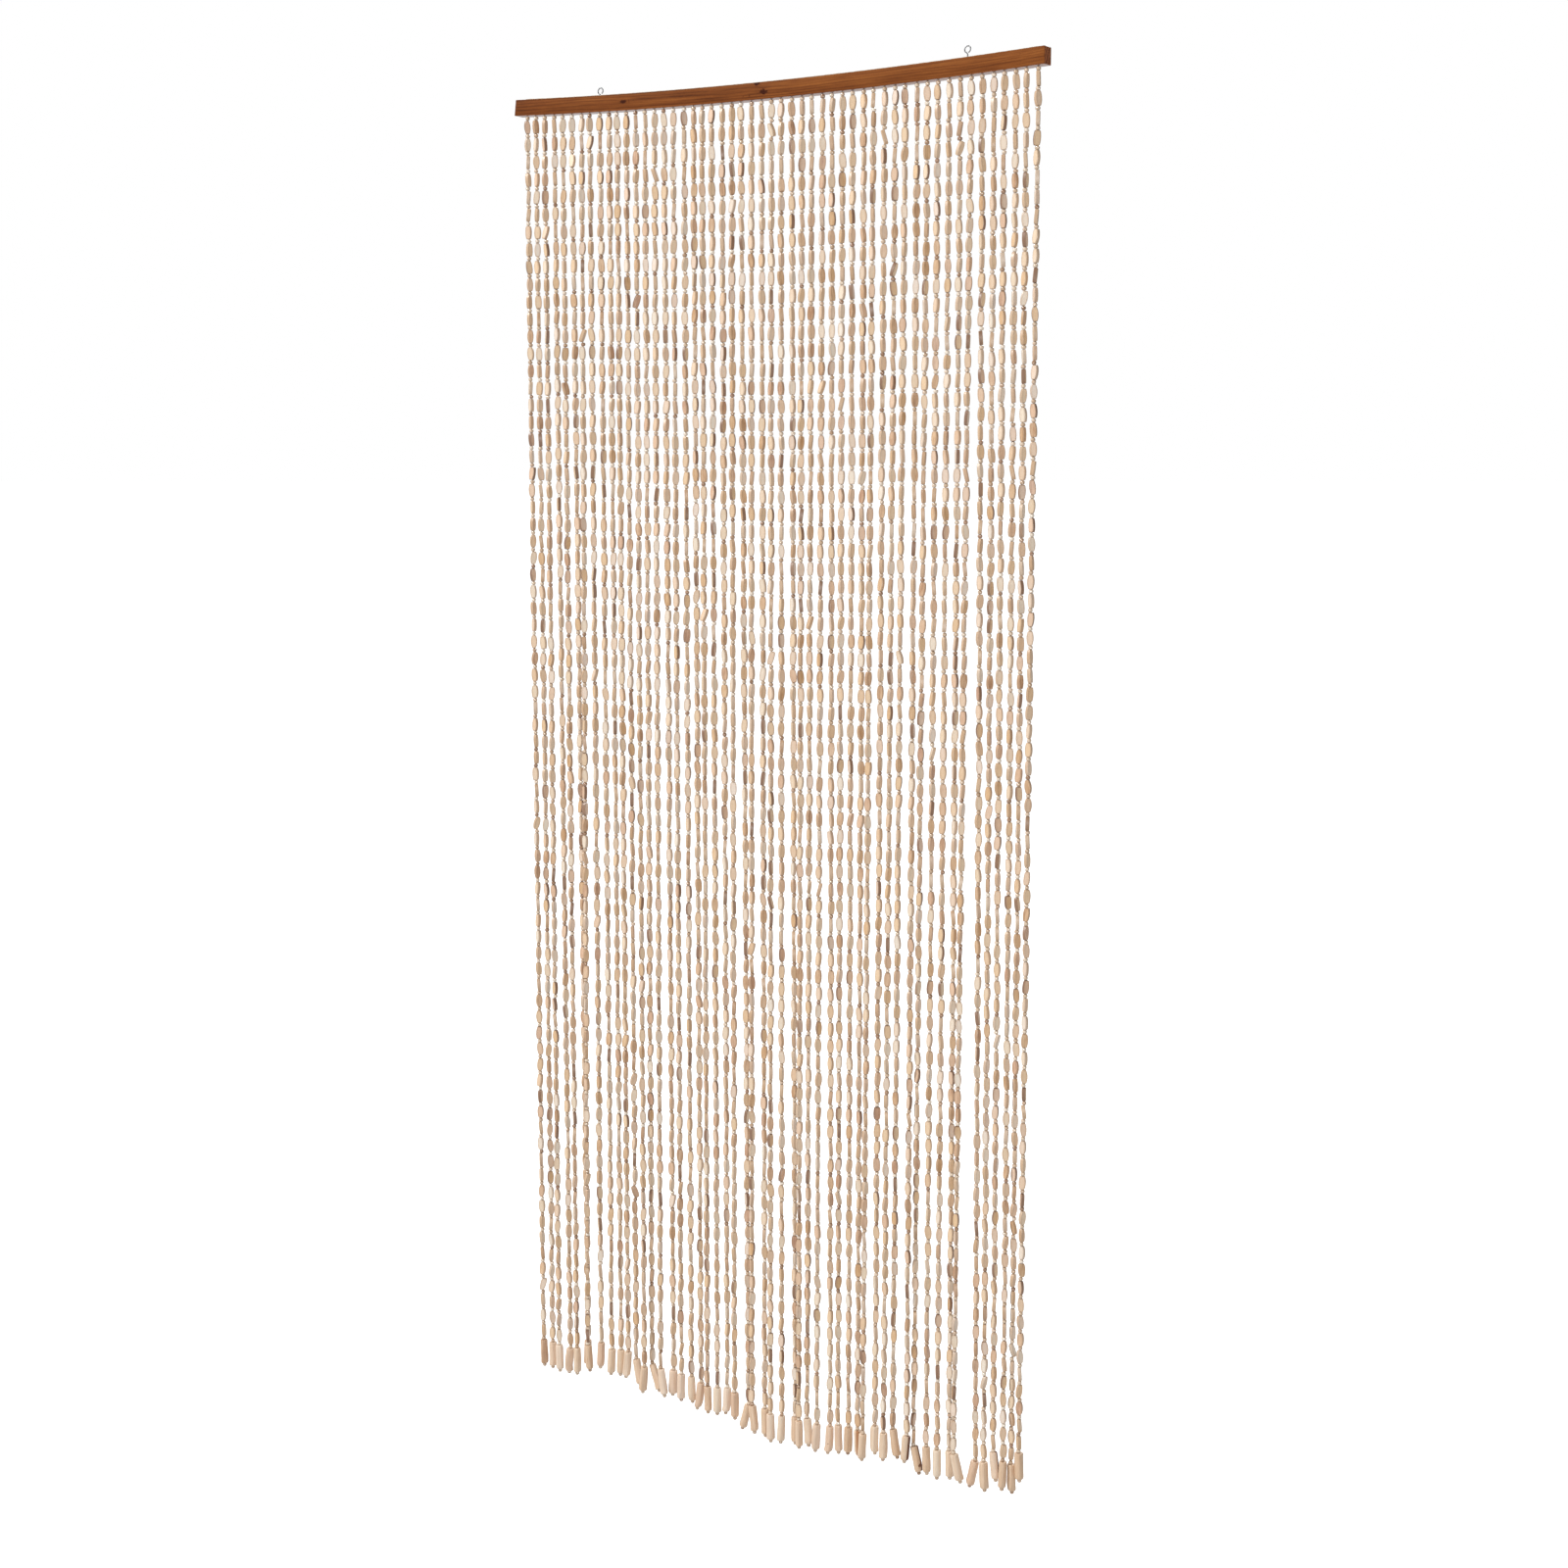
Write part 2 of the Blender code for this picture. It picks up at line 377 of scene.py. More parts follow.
def battenTop(along):
    return battenMiddle(along) + batten["height"] / 2


# The row of strands, laid out as the part is
strandRow = {
    "count": 52,
    "first": 0.018,
    "last": 0.889,
    "line": -0.005,
    "bell": 0.047,
    "seed": 11,
    "bend": 0.012,  # height over its bell where a strand starts to lean
    "wander": {
        "hole": 0.0012,
        "drop": 0.004,
        "lean": 3.0,
        "drift": 0.0015,
        "forward": 0.001,
        "bell": 0.0015,
    },
    # first strand of a group, and its drop from the batten's middle
    "drops": {
        1: 2.022,
        6: 2.003,
        12: 2.017,
        19: 2.022,
        24: 2.042,
        38: 2.030,
        42: 2.046,
        49: 2.030,
        50: 2.043,
        52: 2.021,
    },
    # strand: drift of its foot to the right, step forward, lean of its bell in degrees
    "strays": {
        4: (-0.001, 0.000, -7),
        5: (0.002, 0.003, 1),
        6: (-0.001, -0.006, -2),
        7: (-0.009, 0.005, 4),
        8: (-0.004, 0.000, -3),
        11: (-0.001, 0.002, -6),
        12: (0.000, -0.004, 10),
        13: (-0.001, 0.005, -5),
        14: (0.000, -0.005, 20),
        15: (0.002, 0.005, 8),
        16: (-0.002, -0.005, -4),
        19: (0.000, 0.000, -7),
        24: (0.001, -0.003, -15),
        25: (0.002, 0.003, 8),
        26: (0.002, -0.003, 2),
        27: (-0.001, 0.004, 1),
        29: (0.005, -0.004, 0),
        30: (-0.001, 0.004, 1),
        31: (-0.004, -0.002, 5),
        32: (-0.006, 0.002, -4),
        36: (-0.0033, -0.005, 2),
        37: (-0.0057, 0.005, -3),
        38: (-0.005, 0.000, -2),
        39: (-0.005, 0.003, 0),
        40: (-0.005, -0.004, 9),
        41: (-0.002, 0.003, -5),
        42: (-0.003, -0.004, 13),
        45: (0.002, -0.004, 3),
        46: (0.001, 0.004, 14),
        47: (0.007, -0.002, -12),
        48: (0.011, 0.003, 2),
        49: (0.010, -0.002, 7),
        50: (0.008, 0.003, -1),
        51: (0.003, -0.004, 2),
    },
}


def layOutStrands():
    draw = random.Random(strandRow["seed"])
    pitch = (strandRow["last"] - strandRow["first"]) / (strandRow["count"] - 1)
    strands = []
    for number in range(1, strandRow["count"] + 1):
        off = {key: draw.uniform(-1, 1) * reach for key, reach in strandRow["wander"].items()}
        along = strandRow["first"] + (number - 1) * pitch + off["hole"]
        drop = [drop for first, drop in strandRow["drops"].items() if first <= number][-1] + off["drop"]
        length = strandRow["bell"] + off["bell"]
        wandering = (off["drift"], off["forward"], off["lean"])
        drift, forward, lean = strandRow["strays"].get(number, wandering)
        tilt = math.radians(lean)
        middle = battenMiddle(along)
        hole = Vector((along - originAlong, strandRow["line"], middle - batten["height"] / 2))
        foot = Vector((hole.x + drift, hole.y - forward, middle - drop))
        half = Vector((math.sin(tilt), 0, -math.cos(tilt))) * length / 2
        bellMiddle = foot + Vector((0, 0, length / 2))
        bellTop = bellMiddle - half
        strands.append(
            {
                "along": along,
                "hole": hole,
                "bend": bellTop + Vector((0, 0, strandRow["bend"])),
                "bellTop": bellTop,
                "bellFoot": bellMiddle + half,
            }
        )
    return strands


# Stained softwood: streaks and growth lines that run along the stick and bend round its knots
stain = {
    "dark": (0.078, 0.021, 0.0060),
    "middle": (0.180, 0.053, 0.0120),
    "light": (0.315, 0.108, 0.0240),
    "knot": (0.036, 0.007, 0.0030),
    "sawnDark": (0.075, 0.022, 0.011),
    "sawnLight": (0.440, 0.155, 0.0650),
    # painted reflection: a pale pink that stands in for the white floor mirrored in the underside
    "undersideReflection": (0.460, 0.200, 0.130),
    "lineSpacing": 0.0047,
    "fineSpacing": 0.0013,
    "ringSpacing": 0.0052,
    # place along, height above the middle, half height
    "knots": ((0.203, 0.0004, 0.0036), (0.441, 0.0105, 0.0032), (0.452, -0.0018, 0.0042)),
    "knotStretch": 1.7,
}


def roundKnots(along, depth, height, phase, ragged):  # the growth lines bend round each knot
    knotCore = halo = None
    for knotAlong, knotHeight, size in stain["knots"]:
        aside = (along - (knotAlong - originAlong)) / (size * stain["knotStretch"])
        above = (height - knotHeight) / size
        far = aside * aside + above * above + (depth + batten["depth"] / 2) * 60.0
        near = 1.0 / (1.0 + far * far)
        phase = phase + near * above * size * 0.55
        outside = (far * (ragged * 3.2 - 0.6)).between(0.12, 0.90)
        core = (1.0 - outside) * (0.90 + (far.root() * 12.0).sine() * 0.10)
        knotCore = core if knotCore is None else knotCore.most(core)
        halo = near if halo is None else halo.most(near)
    return phase, knotCore, halo


def battenMaterial():
    material, start, shader = newMaterial("stainedWood")
    place = start.mark("grainPlace", 1)
    along, depth, height = place.part(0), place.part(1), place.part(2)
    sway = place.streaked((4.0, 55.0, 55.0), 2.0)
    phase = height + depth * 0.45 + (sway - 0.5) * 0.016
    ragged = place.noise(260.0, 1.0, 0.5)
    phase, knotCore, halo = roundKnots(along, depth, height, phase, ragged)
    lines = phase.waves(stain["lineSpacing"]) ** 2.5  # the dark summer growth
    fineLines = phase.waves(stain["fineSpacing"])
    streaks = place.streaked((7.0, 330.0, 330.0), 5.0, 0.66)
    broad = place.streaked((2.6, 85.0, 85.0), 3.0, 0.5)
    smudges = place.streaked((16.0, 130.0, 130.0), 3.0, 0.6, 0.6)
    pores = place.streaked((90.0, 2400.0, 2400.0), 2.0, 0.6)
    tone = streaks * 0.66 + broad * 0.50 + smudges * 0.40 - lines * 0.13
    tone = tone - fineLines * 0.05 + along * 0.16 - 0.26
    tone = tone - knotCore * 0.25 - halo * 0.10 + (pores - 0.5) * 0.20
    colour = tone.ramp(((0.20, stain["dark"]), (0.46, stain["middle"]), (0.78, stain["light"])))
    colour = colour.blend(stain["knot"], knotCore * (0.8 + streaks * 0.4))
    colour = colour.blend(stain["dark"], start.mark("arris") * streaks.between(0.35, 0.6) * 0.7)
    normal = start.node("ShaderNodeNewGeometry", None, None, 1)
    facing = normal.part(0)
    endFace = (facing * facing).between(0.45, 0.7)
    undersideReflection = (-normal.part(2)).between(0.6, 0.8)
    rings = (depth + height * 0.4 + streaks * 0.0060).waves(stain["ringSpacing"])
    sawn = (rings * 0.55 + pores * 0.45).ramp(((0.25, stain["sawnDark"]), (0.75, stain["sawnLight"])))
    colour = colour.blend(sawn, endFace)
    # painted reflection: faces turned down are lightened towards the pale pink, on top of the real coat
    # that also gets stronger there
    colour = colour.blend(stain["undersideReflection"], undersideReflection * 0.6)
    shader.inputs["Specular IOR Level"].default_value = 0.04
    relief = lines * 0.3 + streaks * 0.5 + pores * 0.45 - knotCore * 0.3
    feed(
        shader,
        BaseColor=colour,
        Roughness=0.52 + (streaks - 0.5) * 0.2 + endFace * 0.2,
        CoatWeight=0.06 - endFace * 0.06 - knotCore * 0.06 + undersideReflection * 0.64,
        CoatRoughness=0.12,
        Normal=bumped(relief, 0.3, 0.00015),
    )
    return material


def bentPoint(point):  # from the straight stick to the bowed one, in the curtain's frame
    along = point[0]
    return Vector((along - originAlong, point[1], point[2] + battenMiddle(along)))


def makeBatten(strands):
    work = bmesh.new()
    size = Matrix.Diagonal((batten["length"], batten["depth"], batten["height"], 1))
    bmesh.ops.create_cube(work, size=1, matrix=size)
    bmesh.ops.translate(work, verts=work.verts, vec=(batten["length"] / 2, 0, 0))
    for vert in work.verts:
        if vert.co.x < batten["length"] / 2 and vert.co.z < 0:
            vert.co.x -= batten["endSlant"]
    bmesh.ops.bevel(
        work,
        geom=work.edges[:],
        offset=batten["arris"],
        segments=batten["arrisSteps"],
        profile=0.6,
        affect="EDGES",
        clamp_overlap=True,
    )
    for step in range(1, batten["steps"]):
        cut = (batten["length"] * step / batten["steps"], 0, 0)
        geometry = work.verts[:] + work.edges[:] + work.faces[:]
        bmesh.ops.bisect_plane(work, geom=geometry, plane_co=cut, plane_no=(1, 0, 0))
    for vert in work.verts:
        scaled = Vector([value * scale for value, scale in zip(vert.co, batten["rippleScale"])])
        ripple = noise.noise_vector(scaled)
        vert.co.y += ripple.y * batten["ripple"]
        vert.co.z += ripple.z * batten["ripple"]
        vert.co = bentPoint(vert.co)
    stick = bpy.data.meshes.new("stick")
    work.to_mesh(stick)
    work.free()
    blank = newObject("stick", stick)
    drills = newObject("drills", drillMesh(strands))
    cut = blank.modifiers.new("Holes", "BOOLEAN")
    cut.operation = "DIFFERENCE"
    cut.object = drills
    bpy.context.view_layer.update()
    evaluated = blank.evaluated_get(bpy.context.evaluated_depsgraph_get())
    mesh = bpy.data.meshes.new_from_object(evaluated)
    for thing in (blank, drills):
        bpy.data.objects.remove(thing)
    markBatten(mesh)
    mesh.shade_smooth()
    mesh.set_sharp_from_angle(angle=math.radians(batten["sharp"]))
    addPiece("battenStick", mesh, battenMaterial(), "batten")


def markBatten(mesh):
    points = np.empty(len(mesh.vertices) * 3, np.float32)
    mesh.vertices.foreach_get("co", points)
    points = points.reshape(-1, 3)
    straight = points.copy()
    straight[:, 2] -= battenMiddle(points[:, 0] + originAlong)
    inY = batten["depth"] / 2 - np.abs(straight[:, 1])
    inZ = batten["height"] / 2 - np.abs(straight[:, 2])
    addMark(mesh, "grainPlace", straight)
    inward = np.maximum(inY, inZ) / (batten["arris"] * batten["arrisFade"])
    addMark(mesh, "arris", np.clip(1 - inward, 0, 1))


def drillMesh(strands):
    # place along, place in depth, height over the batten's middle, width, length
    through = (strandRow["line"], 0, batten["holeWidth"], batten["height"] * 2)
    blind = (0, batten["height"] / 2, batten["eyeHole"], batten["eyeHoleDepth"] * 2)
    holes = [(strand["along"], *through) for strand in strands]
    holes += [(along, *blind) for along, _ in eyes["places"].values()]
    work = bmesh.new()
    for along, y, up, width, length in holes:
        bmesh.ops.create_cone(
            work,
            cap_ends=True,
            segments=batten["holeSides"],
            radius1=width / 2,
            radius2=width / 2,
            depth=length,
            matrix=Matrix.Translation((along - originAlong, y, battenMiddle(along) + up)),
        )
    mesh = bpy.data.meshes.new("drills")
    work.to_mesh(mesh)
    work.free()
    return mesh


# Screw eyes of dull zinc plated wire
zinc = {
    "tones": ((0.3, (0.14, 0.145, 0.15)), (0.7, (0.30, 0.305, 0.31))),
    "spots": (0.16, 0.14, 0.12),
}


def wireMaterial():
    material, start, shader = newMaterial("zincWire")
    place = start.node("ShaderNodeTexCoord", None, None, 3)
    dull = place.noise(900.0, 4.0, 0.6)
    spots = place.noise(2600.0, 2.0, 0.5).between(0.60, 0.72)
    feed(
        shader,
        BaseColor=dull.ramp(zinc["tones"]).blend(zinc["spots"], spots * 0.6),
        Metallic=0.85,
        Roughness=0.34 + dull * 0.2,
        Normal=bumped(dull, 0.2, 0.00005),
    )
    return material


def makeEyes():
    material = wireMaterial()
    ring, wire, side, steps = eyes["ring"], eyes["wire"], eyes["side"], eyes["ringSteps"]
    for node, (along, up) in eyes["places"].items():
        x = along - originAlong
        top = battenTop(along)
        centre = top + up
        controls = [(x, 0, top - depth) for depth in eyes["shank"]]
        controls.append((x, 0, centre - ring - wire * eyes["neck"]))
        turn = eyes["startAngle"] - eyes["endAngles"][node]
        for step in range(steps + 1):
            angle = math.radians(eyes["startAngle"] - turn * step / steps)
            across = ring * (math.cos(angle) + eyes["lean"] * math.sin(angle))
            controls.append((x + across, 0, centre + ring * math.sin(angle)))
        line = smoothLine(controls, eyes["smoothSteps"])
        radii = [wire / 2] * len(line)
        radii[0] = radii[-1] = wire / 2 * eyes["endWidth"]
        rings = tubeRings(line, radii, side)
        angles = np.arange(side) * math.tau / side
        for index, point in enumerate(line[: eyes["threadRings"]]):
            groove = 1 + eyes["threadDepth"] * np.cos(angles - math.tau * point.z / eyes["threadPitch"])
            rings[index] = np.array(point) + (rings[index] - np.array(point)) * groove[:, None]
        shape = template(rings)
        mesh = meshOf(node + "Wire", shape["points"], *faceLayout(shape["faces"]), {}, eyes["sharp"])
        addPiece(node + "_wire", mesh, material, node)


# Beads, in metres: the flat ones are slices with an oval outline, the round ones small and glossy
flatBead = {
    "length": 0.0203,
    "width": 0.0097,
    "thick": 0.0056,
    "arris": 0.0008,
    "outlineSteps": 8,
    "outlineCurve": 2.2,
    "endWidth": 0.62,
    "corner": 0.86,  # the corners are rubbed round
    "sharp": 35,
}
roundBead = {
    "length": 0.0057,
    "width": 0.0068,
    "side": 8,
    # share of the half length, share of the half width
    "profile": ((-1.0, 0.52), (-0.76, 0.85), (-0.28, 1.0), (0.28, 1.0), (0.76, 0.85), (1.0, 0.52)),
    "sharp": 60,
}
beading = {
    "seed": 5,
    "start": 0.0012,
    "spare": 0.0003,
    "tilt": 3.2,  # degrees, at most tiltLimit times this
    "tiltLimit": 1.6,
    "oddTilt": 9.0,
    "oddShare": 0.06,
    "aside": 0.0006,
    "sizeWander": 0.07,
    "lengthWander": 0.4,  # a share of sizeWander
    "flare": 0.14,
    "taper": 0.07,
    "grainReach": 3,
    "strandsInPiece": 11,
}


def flatBeadShape():
    half, wide, thick = flatBead["length"] / 2, flatBead["width"] / 2, flatBead["thick"] / 2
    steps, arris = flatBead["outlineSteps"], flatBead["arris"]
    outline = []
    for step in range(steps):
        share = math.cos(math.pi * step / (steps - 1))
        width = 1 - (1 - flatBead["endWidth"]) * abs(share) ** flatBead["outlineCurve"]
        if step in (0, steps - 1):
            width *= flatBead["corner"]
        outline.append((wide * width, half * share))
    outline += [(-x, z) for x, z in reversed(outline)]
    rings, walls, reach = [], [], []
    for depth, inset in ((-thick, arris), (-thick + arris, 0), (thick - arris, 0), (thick, arris)):
        scaleX = 1 - inset / wide
        scaleZ = 1 - inset / half
        rings.append([(x * scaleX, depth, z * scaleZ) for x, z in outline])
        walls += [1.0 if inset == 0 else 0.0] * len(outline)
        reach += [(x / wide, z / half, 0.0) for x, z in outline]
    shape = template(rings)
    shape["marks"] = {"wall": np.array(walls), "reach": np.array(reach)}
    return shape


def roundBeadShape():
    half, radius, side = roundBead["length"] / 2, roundBead["width"] / 2, roundBead["side"]
    angles = np.arange(side) * math.tau / side
    rings = []
    for height, width in roundBead["profile"]:
        x, y = radius * width * np.cos(angles), radius * width * np.sin(angles)
        rings.append(np.stack([x, y, np.full(side, height * half)], axis=1))
    shape = template(rings)
    # how near each ring is to an end, used for painted shade there
    shape["marks"] = {"rim": np.repeat([abs(height) for height, _ in roundBead["profile"]], side)}
    return shape


def turnedAlong(direction, spin):  # columns are the bead's own axes, its length along the direction
    down = np.array(direction, dtype=float)
    down /= np.linalg.norm(down)
    side = np.cross((0.0, 1.0, 0.0), down)
    side /= np.linalg.norm(side)
    front = np.cross(down, side)
    across = side * math.cos(spin) + front * math.sin(spin)
    return np.stack([across, np.cross(down, across), down], axis=1)


def runsOf(strand):  # from its hole to its bend, and on into the bell's top
    lower = strand["bellTop"] - strand["bend"]
    return strand["bend"] - strand["hole"], lower + lower.normalized() * bell["topDrop"]


def threadBeads(strands):
    draw = random.Random(beading["seed"])
    pair = flatBead["length"] + roundBead["length"]
    flats, rounds = [], []
    for number, strand in enumerate(strands, 1):
        upper, lower = runsOf(strand)
        room = upper.length + lower.length - beading["start"] - roundBead["length"]
        count = round(room / (pair + beading["spare"]))
        pitch = room / count
        for index in range(count + 1):
            at = beading["start"] + roundBead["length"] / 2 + index * pitch
            rounds.append(threaded(draw, strand, number, at))
            if index < count:
                flats.append(threaded(draw, strand, number, at + pitch / 2))
    return flats, rounds


def threaded(draw, strand, number, at):
    upper, lower = runsOf(strand)
    if at < upper.length:
        place, along = strand["hole"] + upper * (at / upper.length), upper
    else:
        place, along = strand["bend"] + lower * ((at - upper.length) / lower.length), lower
    tilt = math.radians(beading["oddTilt"] if draw.random() < beading["oddShare"] else beading["tilt"])
    limit = beading["tiltLimit"]
    lean = [max(-limit, min(limit, draw.gauss(0, 1))) * tilt for _ in range(2)]
    direction = along.normalized() + Vector((*lean, 0))
    side = Vector((draw.uniform(-1, 1), draw.uniform(-1, 1), 0)) * beading["aside"]
    scale = np.array([1 + draw.uniform(-1, 1) * beading["sizeWander"] for _ in range(3)])
    scale[2] = 1 + draw.uniform(-1, 0.2) * beading["sizeWander"] * beading["lengthWander"]
    return {
        "strand": number,
        "place": np.array(place + side),
        "turn": turnedAlong(direction, draw.uniform(0, math.tau)) * scale[None, :],
        "flare": draw.uniform(-1, 1) * beading["flare"],
        "taper": draw.gauss(0, 0.5) * beading["taper"],
        "tone": draw.random(),
        "blush": draw.uniform(-1, 1),
        "grain": np.array([draw.uniform(0, beading["grainReach"]) for _ in range(3)]),
    }


# Pale lacquered wood with fine grain along each bead; tone and blush are the bead's own
beadWood = {
    "tones": (
        (0.00, (0.360, 0.190, 0.098)),
        (0.13, (0.565, 0.368, 0.224)),
        (0.30, (0.675, 0.487, 0.320)),
        (0.58, (0.705, 0.547, 0.396)),
        (0.85, (0.725, 0.620, 0.500)),
        (1.00, (0.740, 0.668, 0.572)),
    ),
    "pink": (0.640, 0.400, 0.320),
    "honey": (0.640, 0.400, 0.170),
    "wall": (0.480, 0.335, 0.220),
    # painted shade: the darker tone at the outline and ends of each flat bead
    "rim": (0.380, 0.235, 0.135),
    # painted shade: dark brown for the walls of a few flat beads, standing in for walls turned away
    # from the light
    "bark": (0.16, 0.075, 0.040),
    "pores": (0.22, 0.11, 0.055),
}
roundWood = {
    "tones": (
        (0.00, (0.240, 0.125, 0.062)),
        (0.08, (0.330, 0.190, 0.105)),
        (0.12, (0.450, 0.305, 0.190)),
        (0.42, (0.550, 0.415, 0.290)),
        (0.80, (0.640, 0.520, 0.395)),
        (1.00, (0.740, 0.660, 0.560)),
    ),
    # painted shade at the ends of each round bead
    "rim": (0.330, 0.205, 0.120),
}


def flatBeadMaterial():
    material, start, shader = newMaterial("flatBeadWood")
    place = start.mark("grainPlace", 1)
    grain = place.streaked((560.0, 560.0, 40.0), 4.0, 0.62)
    cloud = place.streaked((150.0, 150.0, 60.0), 2.0)
    pores = place.streaked((3200.0, 3200.0, 260.0), 2.0, 0.6).between(0.60, 0.74)
    tone = start.mark("tone") * 0.9 + 0.05 + (grain - 0.5) * 0.55 + (cloud - 0.5) * 0.30
    colour = tone.ramp(beadWood["tones"])
    blush = start.mark("blush")
    colour = colour.blend(beadWood["pink"], blush.most(0.0) * 0.30)
    colour = colour.blend(beadWood["honey"], (-blush).most(0.0) * 0.38)
    colour = colour.blend(beadWood["wall"], start.mark("wall") * (0.16 + blush * blush * 0.5))
    reach = start.mark("reach", 1)
    across, up = reach.part(0), reach.part(1)
    # painted shade: darker towards the outline and the ends of each flat bead
    rim = (across * across).root() / (1.0 - up * up * (1 - flatBead["endWidth"]))
    rim = rim.between(0.45, 1.05).most((up * up).between(0.72, 1.0))
    colour = colour.blend(beadWood["rim"], rim * 0.42)
    # painted shade: a few beads, picked by their blush, get dark brown walls
    shadedWalls = start.mark("wall") * (blush * blush).between(0.72, 0.80) * 0.80
    colour = colour.blend(beadWood["bark"], shadedWalls)
    colour = colour.blend(beadWood["pores"], pores * 0.35)
    feed(
        shader,
        BaseColor=colour,
        Roughness=0.45 + (grain - 0.5) * 0.2,
        CoatWeight=0.2,
        CoatRoughness=0.3,
        Normal=bumped(grain * 0.7 - pores * 0.5, 0.22, 0.0001),
    )
    return material


def roundBeadMaterial():
    material, start, shader = newMaterial("roundBeadWood")
    place = start.mark("grainPlace", 1)
    grain = place.streaked((1100.0, 1100.0, 260.0), 3.0, 0.55)
    tone = start.mark("tone") + (grain - 0.5) * 0.22
    colour = tone.ramp(roundWood["tones"])
    colour = colour.blend(beadWood["pink"], start.mark("blush").most(0.0) * 0.16)
    # painted shade: darker towards both ends of each round bead
    colour = colour.blend(roundWood["rim"], start.mark("rim").between(0.6, 1.0) * 0.6)
    feed(
        shader,
        BaseColor=colour,
        Roughness=0.36 + (grain - 0.5) * 0.12,
        CoatWeight=0.8,
        CoatRoughness=0.10,
        Normal=bumped(grain, 0.12, 0.00008),
    )
    return material


def makeBeadPieces(name, beads, shape, material, sharpAngle):
    inPiece = beading["strandsInPiece"]
    for group in range(math.ceil(strandRow["count"] / inPiece)):
        chosen = [bead for bead in beads if (bead["strand"] - 1) // inPiece == group]
        keys = ("place", "turn", "grain", "flare", "taper")
        copies = {key: np.array([bead[key] for bead in chosen]) for key in keys}
        marks = {key: np.array([bead[key] for bead in chosen]) for key in ("tone", "blush")}
        mesh = joinedCopies(f"{name}{group + 1}", shape, copies, marks, sharpAngle)
        addPiece(f"{name}{group + 1}", mesh, material, "strands")


# The long beads at the feet: whittled pegs with flats, a sawn and bored top, a bevelled foot and
# a small round bead as a knob under it
bell = {
    "side": 18,
    "seed": 23,
    "body": 0.888,  # share of a strand's last stretch
    "topDrop": 0.0020,
    "tip": 0.940,  # where the knob is, in the same share
    "tipWidth": 0.96,
    "halfWidth": 0.0066,
    "bore": 0.002,
    "bevelFrom": 0.79,
    # share of the body's length from the top, half width: the foot, the sides, the top, the bore
    "profile": (
        (1.000, 0.0044),
        (0.993, 0.0052),
        (0.977, 0.0058),
        (0.950, 0.0062),
        (0.910, 0.0065),
        (0.820, 0.0066),
        (0.740, 0.0066),
        (0.660, 0.0066),
        (0.580, 0.0066),
        (0.440, 0.0066),
        (0.300, 0.0065),
        (0.160, 0.0065),
        (0.070, 0.0064),
        (0.016, 0.0062),
        (0.000, 0.0057),
        (0.000, 0.0013),
        (0.070, 0.0012),
    ),
    "swell": (0.93, 1.04),
    "bevelLength": (0.45, 1.15),
    "narrowTop": 0.14,
    "narrowTo": 0.7,
    "flats": 3,
    "flatDepth": 0.0057,
    "flatWander": (0.98, 1.16),
    "flatReach": 0.2,  # a flat ends where it turns this far away
    "deepest": 0.86,
    "squash": 0.05,
    "slant": 0.0024,
    "slantFrom": 0.72,
    "ripple": 0.00013,
    "sharp": 28,
    # strand: how dark the wood is, how much bark is left on it, the side it is on, how rusty it is
    "bark": {
        1: (0.55, 0.50, 20, 0.6),
        36: (0.10, 0.80, -62, 1.0),
        41: (0.00, 1.00, 0, 0.0),
        42: (0.00, 0.90, 20, 0.0),
        49: (0.05, 0.90, 16, 0.0),
    },
    # strand: side of a knot, its share of the length, its size
    "knots": {42: (-32, 0.62, 0.0024), 22: (-60, 0.30, 0.0012), 33: (-80, 0.55, 0.0011)},
    "knotRadius": 0.0055,
    "tones": (
        (0.00, (0.360, 0.200, 0.105)),
        (0.25, (0.560, 0.375, 0.235)),
        (0.60, (0.665, 0.495, 0.350)),
        (1.00, (0.740, 0.620, 0.490)),
    ),
    "barkTones": ((0.3, (0.060, 0.022, 0.012)), (0.7, (0.240, 0.100, 0.052))),
    "rust": (0.400, 0.190, 0.085),
}


def bellMaterial():
    material, start, shader = newMaterial("bellWood")
    place = start.mark("grainPlace", 1)
    grain = place.streaked((560.0, 560.0, 11.0), 4.0, 0.62)
    lines = place.streaked((1500.0, 1500.0, 12.0), 2.0, 0.5).between(0.56, 0.70)
    cloud = place.streaked((120.0, 120.0, 30.0), 2.0)
    scratch = place.streaked((2400.0, 2400.0, 60.0), 2.0, 0.6)
    tone = start.mark("tone") + (grain - 0.5) * 0.95 + (cloud - 0.5) * 0.35 - lines * 0.22
    colour = tone.ramp(bell["tones"])
    colour = colour.blend(beadWood["pink"], start.mark("blush").most(0.0) * 0.22)
    edge = start.mark("barkCover") + (grain - 0.5) * 0.35 + (cloud - 0.5) * 0.3
    bark = edge.between(0.48, 0.62)
    barkColour = scratch.ramp(bell["barkTones"]).blend(bell["rust"], start.mark("rust"))
    colour = colour.blend(barkColour, bark)
    feed(
        shader,
        BaseColor=colour,
        Roughness=0.50 + (grain - 0.5) * 0.2 + bark * 0.2,
        CoatWeight=0.12,
        CoatRoughness=0.35,
        Normal=bumped(grain * 0.6 + scratch * 0.4 - bark * 0.5, 0.3, 0.00014),
    )
    return material


def sideways(angle):
    return np.array([math.cos(angle), math.sin(angle), 0.0])


